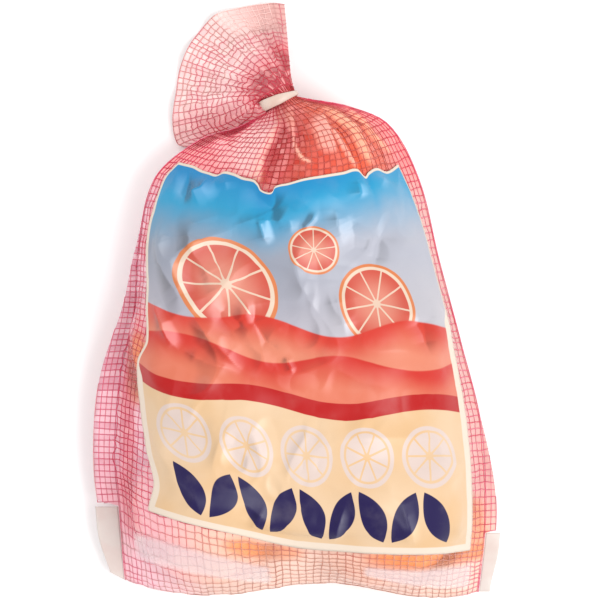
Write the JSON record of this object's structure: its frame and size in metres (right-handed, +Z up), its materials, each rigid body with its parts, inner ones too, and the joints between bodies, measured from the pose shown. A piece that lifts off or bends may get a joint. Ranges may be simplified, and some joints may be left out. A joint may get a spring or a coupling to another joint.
{
  "type": "bag of grapefruit",
  "caption": "Red net bag of grapefruit lying on its back, with a printed film panel on its front, a pale flat tie round the gathered neck and a tail of net fanned out beyond it",
  "frame": {"origin": "on the ground under the middle of the whole bag, tail included", "axes": "+Y runs from the bottom seam to the neck, +Z is up out of the printed side, +X is to the right of the print"},
  "size_m": [0.2128, 0.3114, 0.0858],
  "materials": {
    "net": "satin red strands with the peel showing through",
    "printed_film": "printed film, semi-gloss",
    "bare_film": "bare pale film",
    "tie": "cream, smooth"
  },
  "bodies": {
    "root": {"net_bag": "net", "label_panel": "printed_film", "strip_left": "bare_film", "strip_right": "bare_film", "corner_tab_left": "bare_film", "corner_tab_right": "bare_film", "neck_tie": "tie"}
  },
  "joints": []
}
